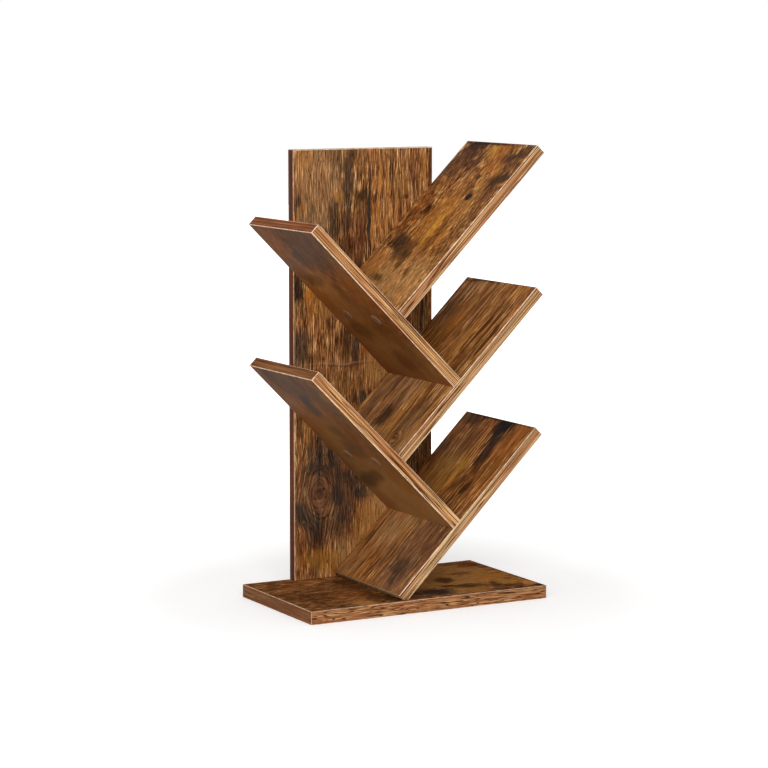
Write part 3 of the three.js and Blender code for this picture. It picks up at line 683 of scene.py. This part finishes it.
def zinc_steel():
    """Zinc plated screw steel. The eye sees a light grey metal with a fine, slightly uneven shine."""
    material, tree, shader = new_material("zinc_plated_steel", Metallic=1.0)
    spot = add_node(tree, "TexCoord", [], output="Object")
    grit = add_node(tree, "TexNoise", {"Vector": spot, "Scale": 1 / (GRIT_SIZE * MM), "Detail": 3.0})
    shade = add_node(tree, "Mix", {0: grit, 6: colour("#a9abaa"), 7: colour("#d2d4d2")}, **COLOUR_MIX)
    tree.links.new(shade, shader.inputs["Base Color"])
    tree.links.new(add_node(tree, "MapRange", [grit, *WIDE_SPAN, *STEEL_POLISH]), shader.inputs["Roughness"])
    return material


def cap_face():
    """A cap's printed foil. The eye sees an even brown, finer and smoother than the board round it."""
    material, tree, shader = new_material("printed_cap_face", Specular_IOR_Level=0.1)
    spot = own_millimetres(tree, room_turn(LEFT_LEAN, Y_AXIS, LEFT_LEAN.cross(Y_AXIS)))
    fibre = grain_noise(tree, spot, *CAP_FIBRES)
    glint = add_node(tree, "MapRange", [fibre, *MIX_SPAN, 0.0, 1.0])
    shade = add_node(tree, "Mix", {0: glint, 6: colour("#65462f"), 7: colour("#86624a")}, **COLOUR_MIX)
    tree.links.new(shade, shader.inputs["Base Color"])
    tree.links.new(add_node(tree, "MapRange", [fibre, *WIDE_SPAN, *CAP_POLISH]), shader.inputs["Roughness"])
    return material


def cap_rim():
    """A cap's cut edge. The eye sees a fine matt ring, a shade paler than the face."""
    material, tree, shader = new_material("cut_cap_rim", Roughness=0.6, Specular_IOR_Level=0.1)
    spot = add_node(tree, "TexCoord", [], output="Object")
    uneven = add_node(tree, "TexNoise", {"Vector": spot, "Scale": 1 / (CAP_RIM_GRAIN * MM)})
    shade = add_node(tree, "Mix", {0: uneven, 6: colour("#6d4f37"), 7: colour("#a9866a")}, **COLOUR_MIX)
    tree.links.new(shade, shader.inputs["Base Color"])
    return material


chip, steel, cap_print, cap_edge = chipboard(), zinc_steel(), cap_face(), cap_rim()
print("plain materials:", chip.name, steel.name, cap_print.name, cap_edge.name)

# %% [markdown]
# ## Turning a bmesh into a finished piece
# Each piece is built in millimetres of its own or its board's, where it is a simple upright shape. When
# it is ready the whole mesh is moved to its place in the room, so the object itself stays at the
# origin, unturned and unscaled. A flat face and a small rounding meet cleanly if faces are smooth only
# across shallow angles.

# %% Piece helpers
SMOOTH_ANGLE = math.radians(35)
TOUCH = 0.01  # millimetres within which two places count as one
FLAT = 0.9  # a face looks along an axis if its normal has at least this share of it


def face_outwards(bm):
    """Turns every face outwards. The operator reads the stored normals, so they are renewed first."""
    bm.normal_update()
    bmesh.ops.recalc_face_normals(bm, faces=bm.faces)


def finish_piece(bm, name, place, materials, nodes):
    """Moves a bmesh to its place and makes it a piece that stands for those frame nodes."""
    bm.transform(place)
    face_outwards(bm)
    for edge in bm.edges:
        edge.smooth = len(edge.link_faces) == 2 and edge.calc_face_angle(0) < SMOOTH_ANGLE
    for face in bm.faces:
        face.smooth = True
    mesh = bpy.data.meshes.new(name)
    bm.to_mesh(mesh)
    bm.free()
    for material in materials:
        mesh.materials.append(material)
    piece = bpy.data.objects.new(name, mesh)
    bpy.context.scene.collection.objects.link(piece)
    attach(piece, "root")
    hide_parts(*nodes)
    return piece


def block(low, high):
    """A bmesh block between two corners."""
    bm = bmesh.new()
    bmesh.ops.create_cube(bm, size=1.0)
    bmesh.ops.scale(bm, vec=high - low, verts=bm.verts)
    bmesh.ops.translate(bm, vec=(low + high) / 2, verts=bm.verts)
    return bm


def trim_foot(bm, place, floor_height):
    """Cuts away what lies below a height in the room, and closes the cut."""
    inward = place.inverted()
    point = inward @ Vector((0, 0, floor_height))
    normal = (inward.to_3x3() @ Z_AXIS).normalized()
    parts = list(bm.verts) + list(bm.edges) + list(bm.faces)
    cut = bmesh.ops.bisect_plane(bm, geom=parts, plane_co=point, plane_no=normal, clear_inner=True)
    rim = [part for part in cut["geom_cut"] if isinstance(part, bmesh.types.BMEdge)]
    bmesh.ops.holes_fill(bm, edges=rim, sides=0)


print("pieces are smooth below", round(math.degrees(SMOOTH_ANGLE)), "degrees")

# %% [markdown]
# ## Screws
# The screws are the sort made for chipboard, with a countersunk head and a hexagon socket. The head and
# shank are one profile spun round an axis. The thread is a small triangle spun in the same way while it
# moves along the axis, which is what makes it a helix. It is wound last and stays a closed shell of its
# own, because the cut for the socket would drop a shell that overlaps another. A screw's profile, grown
# a little, is the tool that cuts its hole.

# %% Screw shapes
SCREW_STEPS = 32
FLAT_ANGLE = math.radians(0.1)  # a flat end spun as a fan becomes one face
HEAD_RADIUS, HEAD_RIM, HEAD_CONE = 4.5, 0.6, 2.0
HEAD_CHAMFER, CORE_TAPER = 0.15, 1.0
SHANK_RADIUS, SCREW_POINT, POINT_RADIUS = 2.5, 4.0, 0.8
CORE_RADIUS, THREAD_PITCH, THREAD_START = 1.9, 2.8, 9.0
THREAD_ROOT, THREAD_HALF, THREAD_STEPS = 1.7, 0.8, 20  # the ridge's root, half width and steps a turn
MERGE_REACH = 1e-4  # spun points nearer than this become one


def spun(profile, steps=SCREW_STEPS):
    """A closed shape from points of radius and depth, spun about the axis of depth."""
    bm = bmesh.new()
    points = [bm.verts.new((radius, 0, -depth)) for radius, depth in profile]
    edges = [bm.edges.new(pair) for pair in zip(points, points[1:])]
    bmesh.ops.spin(bm, geom=points + edges, cent=(0, 0, 0), axis=(0, 0, 1), angle=math.tau, steps=steps,
                   use_merge=True, dvec=(0, 0, 0))
    bmesh.ops.remove_doubles(bm, verts=bm.verts, dist=MERGE_REACH)
    bmesh.ops.dissolve_limit(bm, angle_limit=FLAT_ANGLE, verts=bm.verts, edges=bm.edges)
    face_outwards(bm)
    return bm


def screw_mesh(length):
    """A screw without its thread, along -Z with its head's top at zero."""
    return spun([(0, 0), (HEAD_RADIUS - HEAD_CHAMFER, 0), (HEAD_RADIUS, HEAD_CHAMFER),
                 (HEAD_RADIUS, HEAD_RIM), (SHANK_RADIUS, HEAD_RIM + HEAD_CONE),
                 (SHANK_RADIUS, THREAD_START - CORE_TAPER), (CORE_RADIUS, THREAD_START),
                 (CORE_RADIUS, length - SCREW_POINT), (POINT_RADIUS, length), (0, length)])


def wind_thread(screw, place, length):
    """Winds a triangular ridge round a finished screw, after its socket is cut."""
    start, end = THREAD_START + THREAD_HALF, length - SCREW_POINT - THREAD_HALF
    turns = (end - start) / THREAD_PITCH
    steps = int(turns * THREAD_STEPS)
    bm = bmesh.new()
    bm.from_mesh(screw.data)
    bm.transform(place.inverted())
    ridge = [(THREAD_ROOT, -THREAD_HALF), (SHANK_RADIUS, 0.0), (THREAD_ROOT, THREAD_HALF)]
    first = bm.faces.new([bm.verts.new((radius, 0, -start - drop)) for radius, drop in ridge])
    bmesh.ops.spin(bm, geom=[first], cent=(0, 0, 0), axis=(0, 0, 1), angle=math.tau * turns, steps=steps,
                   use_merge=False, dvec=(0, 0, -(end - start) / steps))
    bm.transform(place)
    face_outwards(bm)
    bm.to_mesh(screw.data)
    bm.free()


print("a screw's thread rises", THREAD_PITCH, "mm a turn")

# %% Holes and sockets
SOCKET_ACROSS, SOCKET_DEPTH = 4.0, 2.2
SOCKET_TURN = math.radians(4)  # so that no corner of the hexagon falls on an edge of the head's own faces
HOLE_ROOM = 0.3  # left free round a screw in its hole
OVERRUN = 2.0  # a cutter starts this far outside the board


def hole_mesh(length):
    """The room that a screw needs, a little wider than the screw and open towards its head."""
    wide, narrow = HEAD_RADIUS + HOLE_ROOM, SHANK_RADIUS + HOLE_ROOM
    end = length + HOLE_ROOM
    return spun([(0, -OVERRUN), (wide, -OVERRUN), (wide, HEAD_RIM), (narrow, HEAD_RIM + HEAD_CONE),
                 (narrow, end - SCREW_POINT), (POINT_RADIUS + HOLE_ROOM, end), (0, end)])


def socket_mesh():
    """The hexagon socket as a cutter."""
    bm = bmesh.new()
    radius = SOCKET_ACROSS / 2 / math.cos(math.pi / 6)
    bmesh.ops.create_cone(bm, cap_ends=True, segments=6, radius1=radius, radius2=radius,
                          depth=2 * SOCKET_DEPTH)
    bmesh.ops.rotate(bm, verts=bm.verts, matrix=Matrix.Rotation(SOCKET_TURN, 3, "Z"))
    return bm


def cut_piece(piece, cutters, cut_material_index):
    """Cuts holes into a finished piece with a Boolean modifier, applied to its mesh."""
    joined = bmesh.new()
    for cutter in cutters:
        mesh = bpy.data.meshes.new("cutter")
        cutter.to_mesh(mesh)
        cutter.free()
        joined.from_mesh(mesh)
        bpy.data.meshes.remove(mesh)
    for face in joined.faces:
        face.material_index = cut_material_index
    tool_mesh = bpy.data.meshes.new("cutting_tool")
    joined.to_mesh(tool_mesh)
    joined.free()
    for material in piece.data.materials:
        tool_mesh.materials.append(material)
    tool = bpy.data.objects.new("cutting_tool", tool_mesh)
    bpy.context.scene.collection.objects.link(tool)
    modifier = piece.modifiers.new("holes", "BOOLEAN")
    modifier.operation, modifier.solver, modifier.object = "DIFFERENCE", "EXACT", tool
    modifier.material_mode = "INDEX"
    finished = bpy.data.meshes.new_from_object(piece.evaluated_get(bpy.context.evaluated_depsgraph_get()))
    piece.modifiers.clear()
    old = piece.data
    finished.name = old.name
    piece.data = finished
    bpy.data.meshes.remove(old)
    bpy.data.objects.remove(tool)
    bpy.data.meshes.remove(tool_mesh)
    print(piece.name, "cut,", len(finished.polygons), "faces")


print("a socket is", SOCKET_ACROSS, "mm across, and a hole", HOLE_ROOM, "mm wider all round than its screw")


# %% Screws in their places
def screw_place(node):
    """From a screw's own millimetres, head at zero and point towards -Z, to metres in the room."""
    if node.startswith("trunk_screw"):
        tip = -Y_AXIS
    elif node.startswith("base_screw"):
        tip = Z_AXIS
    else:  # a joint screw goes square through its shelf, up into the next one
        tip = RIGHT_LEAN if "left" in node else LEFT_LEAN
    side = tip.orthogonal().normalized()
    turn = room_turn(side, (-tip).cross(side), -tip)
    low, high = box_in(node, turn)
    return turn @ Matrix.Translation(((low.x + high.x) / 2, (low.y + high.y) / 2, high.z)), high.z - low.z


screw_holes = []  # places and lengths
for node in sorted(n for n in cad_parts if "_screw_" in n and "cover" not in n):
    place, length = screw_place(node)
    screw = finish_piece(screw_mesh(length), node + "_steel", place, [steel], [node])
    socket = socket_mesh()
    socket.transform(place)
    cut_piece(screw, [socket], 0)
    wind_thread(screw, place, length)
    screw_holes.append((place, length))
print(len(screw_holes), "screws")

# %% [markdown]
# ## The boards
# A board is a block whose sides are covered by bands, so only a hair-thin line shows where the two meet.
# The block reaches to the bands, its corners are softened by a tenth of a millimetre to draw that line,
# and the screw holes are cut last. Faces that look out of the board's two large sides carry the print,
# and the rest is bare chipboard. The lowest shelf stands on a corner that is cut flat, and the sharp
# edge beside that cut is rubbed down more.

# %% Screws through each board
AXIS_STEPS = 40  # how finely a screw's axis is looked along


def screws_through(board):
    """The places and lengths of the screws whose axes pass through a board's box."""
    inward = places[board].inverted()
    low, high = box_in(board, places[board])
    found = []
    for place, length in screw_holes:
        depths = [length * step / AXIS_STEPS for step in range(AXIS_STEPS + 1)]
        spots = [inward @ place @ Vector((0, 0, -depth)) for depth in depths]
        if any(all(low[i] - TOUCH <= spot[i] <= high[i] + TOUCH for i in range(3)) for spot in spots):
            found.append((place, length))
    return found


print("screws through each board:", {board: len(screws_through(board)) for board in DIRECTIONS})

# %% Boards
GLUE_GAP = 0.3  # between the frame's boards and bands
JOINT_ROOM = 0.02  # what is left of it here
JOINT_SOFTENING = 0.12
FOOT_SOFTENING = 0.7  # the sharp foot of the lowest shelf is rubbed down more, and shows as a fine pale line


def make_board(node, banded):
    """A faced board. Banded names the ends of its own directions that carry a band."""
    place = places[node]
    low, high = box_in(node, place)
    for name in banded:
        axis = "xy".index(name[0])
        if name[1] == "+":
            high[axis] += GLUE_GAP - JOINT_ROOM
        else:
            low[axis] -= GLUE_GAP - JOINT_ROOM
    bm = block(low, high)
    if node == "right_shelf_lower":
        trim_foot(bm, place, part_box(node)[0].z)
        acute = min((edge for edge in bm.edges if all(abs(v.co.z - high.z) < TOUCH for v in edge.verts)),
                    key=lambda edge: edge.verts[0].co.x + edge.verts[1].co.x)
        bmesh.ops.bevel(bm, geom=[acute], offset=FOOT_SOFTENING, offset_type="OFFSET", segments=1,
                        profile=0.5, affect="EDGES", material=-1)
    bmesh.ops.bevel(bm, geom=bm.edges[:], offset=JOINT_SOFTENING, offset_type="OFFSET", segments=1,
                    profile=0.5, affect="EDGES", material=-1)
    bm.normal_update()
    for face in bm.faces:
        face.material_index = 0 if abs(face.normal.z) > FLAT else 1
    piece = finish_piece(bm, node + "_faced", place, [board_finishes[node], chip], [node])
    cutters = []
    for screw, length in screws_through(node):
        cutter = hole_mesh(length)
        cutter.transform(screw)
        cutters.append(cutter)
    cut_piece(piece, cutters, 1)


SHELVES = [node for node in DIRECTIONS if "shelf" in node]
make_board("base_board", ("x-", "x+", "y-", "y+"))
make_board("trunk_board", ("x+", "y-", "y+"))
for node in SHELVES:
    make_board(node, ("x+", "y-", "y+"))

# %% [markdown]
# ## The edge bands
# A band is a 1 mm strip whose outer corners are scraped round. The rounding is a bevel of nearly the
# full thickness on the edges of the outer face that are free: an end that butts against another band, or
# stands on a board, stays square. The flat outer face keeps its print. The scraped faces show the core,
# pale or dull. On the back and tip bands of the right shelves and on the trunk's right band they show the
# print again instead, as painted shade along those edges, where no pale line is seen. One tip, the lower
# left shelf's, is darker and browner than the others.

# %% A band's shape
SCRAPE = 0.9  # how deep the scraper cuts into the band's thickness
SCRAPE_SPREAD = 1.5  # and how much further it reaches across the printed face
SCRAPE_SEGMENTS = 4
PRINTED = 0.98  # the print is left where a face looks out this squarely
NEAR_END = 12.0  # an edge this near to a band's foot belongs to its foot


def make_band(node, board, finish, free_ends, corner=pale_core):
    """One edge band, on the side of its board where the frame has it."""
    place = places[board]
    low, high = box_in(node, place)
    core_low, core_high = box_in(board, place)
    thin = min(range(3), key=lambda i: high[i] - low[i])
    outward = 1 if low[thin] + high[thin] > core_low[thin] + core_high[thin] else -1
    long_axis = max(range(3), key=lambda i: high[i] - low[i])
    between = "tip" in node or "top" in node or node in ("base_band_left", "base_band_right")
    if between:  # it ends at two other bands, and reaches to both
        low[long_axis] -= GLUE_GAP - JOINT_ROOM
        high[long_axis] += GLUE_GAP - JOINT_ROOM
    bm = block(low, high)
    if board == "right_shelf_lower" and "tip" not in node:
        trim_foot(bm, place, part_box(board)[0].z)
    edge_level = high[thin] if outward > 0 else low[thin]
    rim = []
    for edge in bm.edges:
        if any(abs(vertex.co[thin] - edge_level) > TOUCH for vertex in edge.verts):
            continue
        middle = (edge.verts[0].co + edge.verts[1].co) / 2
        near_end = middle[long_axis] < low[long_axis] + NEAR_END
        far_end = abs(middle[long_axis] - high[long_axis]) < TOUCH
        is_end = abs(edge.verts[0].co[long_axis] - edge.verts[1].co[long_axis]) < (high - low)[long_axis] / 2
        if not is_end or (far_end and "far" in free_ends) or (near_end and "near" in free_ends):
            rim.append(edge)
    stretch = Vector([SCRAPE_SPREAD if axis == thin else 1.0 for axis in range(3)])
    bmesh.ops.scale(bm, vec=stretch, verts=bm.verts)
    bmesh.ops.bevel(bm, geom=rim, offset=SCRAPE * SCRAPE_SPREAD, offset_type="OFFSET",
                    segments=SCRAPE_SEGMENTS, profile=0.5, affect="EDGES", material=-1)
    bmesh.ops.scale(bm, vec=[1 / part for part in stretch], verts=bm.verts)
    bm.normal_update()
    for face in bm.faces:
        face.material_index = 0 if face.normal[thin] * outward > PRINTED else 1
    finish_piece(bm, node + "_strip", place, [band_finishes[finish], corner], [node])


print("a band's corners are scraped", SCRAPE, "mm deep")

# %% Bands in their places
for side in ("front", "back"):
    make_band(f"base_band_{side}", "base_board", "sideways", ("near", "far"), dull_core)
# The trunk's right band shows its print on the scraped corners, as painted shade along that edge.
for side, corner in (("left", dull_core), ("right", band_finishes["upright"])):
    make_band(f"base_band_{side}", "base_board", "base_sides", (), dull_core)
    make_band(f"trunk_band_{side}", "trunk_board", "upright", ("far",), corner)
make_band("trunk_band_top", "trunk_board", "trunk_top", ())
for node in SHELVES:
    lean = "right_lean" if node.startswith("right") else "left_lean"
    # On the right shelves the back and tip bands show the tips' print on their scraped corners, as painted
    # shade along those edges.
    hidden_corner = band_finishes["tips"] if node.startswith("right") else pale_core
    make_band(f"{node}_band_front", node, lean, ("far",))
    make_band(f"{node}_band_back", node, lean, ("far",), hidden_corner)
    tip = "low_tip" if node == "left_shelf_lower" else "tips"
    make_band(f"{node}_band_tip", node, tip, (), hidden_corner)

# %% [markdown]
# ## Screw caps
# Under the shelves, thin round caps hide the screw heads. A cap is a low disc, spun from a profile whose
# rim is rounded. Its flat face is printed, and its cut rim is a shade paler, which is why each cap shows
# as a fine ring.

# %% Caps
CAP_STEPS = 48
CAP_RIM = 0.35
CAP_ROUNDING = 0.3  # share of the rim at which its rounding has its middle corner
CAP_SEAT = 0.05


def make_cap(node, shelf):
    """A cap that sits on the underside of its shelf."""
    along, across = DIRECTIONS[shelf]
    down = along.cross(across) if shelf.startswith("left") else -along.cross(across)
    turn = room_turn(along, down.cross(along), down)
    low, high = box_in(node, turn)
    radius = (high.x - low.x) / 2
    seat = box_in(shelf, turn)[1].z + CAP_SEAT
    thickness = high.z - seat
    bm = spun([(0, 0), (radius - CAP_RIM, 0), (radius - CAP_RIM * CAP_ROUNDING, CAP_RIM * CAP_ROUNDING),
               (radius, CAP_RIM), (radius, thickness), (0, thickness)], steps=CAP_STEPS)
    for face in bm.faces:
        face.material_index = 0 if face.normal.z > FLAT else 1
    centre = Matrix.Translation(((low.x + high.x) / 2, (low.y + high.y) / 2, high.z))
    return finish_piece(bm, node + "_cap", turn @ centre, [cap_print, cap_edge], [node])


caps = [make_cap(node, node.split("_cover_")[1].rsplit("_", 1)[0].replace("_", "_shelf_"))
        for node in sorted(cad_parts) if node.startswith("screw_cover")]
print(len(caps), "caps")

# %% [markdown]
# ## Floor and light
# The photograph has a white studio round the bookshelf. The floor is white and keeps the soft shadow
# where the base stands on it, and the world is white for the camera and in reflections, but lights the
# shelf more gently. The lamp is one large soft box near the camera, a little above it, so the corners
# between the boards are lit as well as the open faces. The lamp's light thins out across a wide floor,
# so the floor adds a glow for the camera and in reflections that grows with the distance from the
# bookshelf, and stays weak where the shadow lies.

# %% Floor
FLOOR_HALF = 8.0  # metres
NEAR_GLOW, FAR_GLOW = 0.34, 1.0  # light that the floor adds for the camera and in reflections
GLOW_START, GLOW_END = 0.3, 1.1  # metres from the bookshelf's middle


def shown_rays(tree):
    """1 for the rays that show the background: the camera's own, and those by way of a mirror or glass."""
    path = tree.nodes.new("ShaderNodeLightPath")
    shown = path.outputs["Is Camera Ray"]
    for ray in ("Is Glossy Ray", "Is Transmission Ray"):
        shown = add_node(tree, "Math", [shown, path.outputs[ray]], operation="MAXIMUM")
    return shown


floor_mesh = bmesh.new()
bmesh.ops.create_grid(floor_mesh, x_segments=1, y_segments=1, size=FLOOR_HALF)
floor_data = bpy.data.meshes.new("floor")
floor_mesh.to_mesh(floor_data)
floor_mesh.free()
floor = bpy.data.objects.new("floor", floor_data)
bpy.context.scene.collection.objects.link(floor)

floor_material = bpy.data.materials.new("white_studio_floor")
floor_material.use_nodes = True
tree = floor_material.node_tree
tree.nodes.remove(tree.nodes["Principled BSDF"])
matt = add_node(tree, "BsdfDiffuse", {"Color": colour("#f4f4f4")})
spot = add_node(tree, "TexCoord", [], output="Object")
distance = add_node(tree, "VectorMath", [spot], output="Value", operation="LENGTH")
strength = add_node(tree, "MapRange", [distance, GLOW_START, GLOW_END, NEAR_GLOW, FAR_GLOW])
lift = add_node(tree, "Math", [shown_rays(tree), strength], operation="MULTIPLY")
glow = add_node(tree, "Emission", {"Strength": lift})
both = add_node(tree, "AddShader", [matt, glow])
tree.links.new(both, tree.nodes["Material Output"].inputs["Surface"])
floor_data.materials.append(floor_material)
print("floor is", 2 * FLOOR_HALF, "m wide")

# %% Light
AMBIENT = 0.56  # share of the plain level that comes from all round
KEY_SHARE = 0.58  # and from the lamp
KEY_SIZE, KEY_DISTANCE = 1.8, 3.0  # metres
KEY_TURN, KEY_RISE = math.radians(30), math.radians(18)  # to the left of straight in front, and up


def softbox(name, turn, rise, distance, size, share):
    """A soft box aimed at the bookshelf's middle. A share of 1 alone lights a facing surface plainly."""
    light = bpy.data.lights.new(name, "AREA")
    light.shape, light.size = "SQUARE", size
    light.energy = share * (math.pi * distance) ** 2
    away = Vector((-math.sin(turn) * math.cos(rise), -math.cos(turn) * math.cos(rise), math.sin(rise)))
    lamp = bpy.data.objects.new(name, light)
    lamp.location = (cad_box[0] + cad_box[1]) / 2 + away * distance
    lamp.rotation_euler = away.to_track_quat("Z", "Y").to_euler()
    lamp.visible_camera = False
    bpy.context.scene.collection.objects.link(lamp)


softbox("key_softbox", KEY_TURN, KEY_RISE, KEY_DISTANCE, KEY_SIZE, KEY_SHARE)

world = bpy.context.scene.world or bpy.data.worlds.new("studio")
bpy.context.scene.world = world
world.use_nodes = True
tree = world.node_tree
strength = add_node(tree, "MapRange", [shown_rays(tree), 0.0, 1.0, AMBIENT, 1.0])
background = tree.nodes["Background"]
background.inputs["Color"].default_value = colour("#ffffff")
tree.links.new(strength, background.inputs["Strength"])
bpy.context.scene.view_settings.view_transform = "Standard"
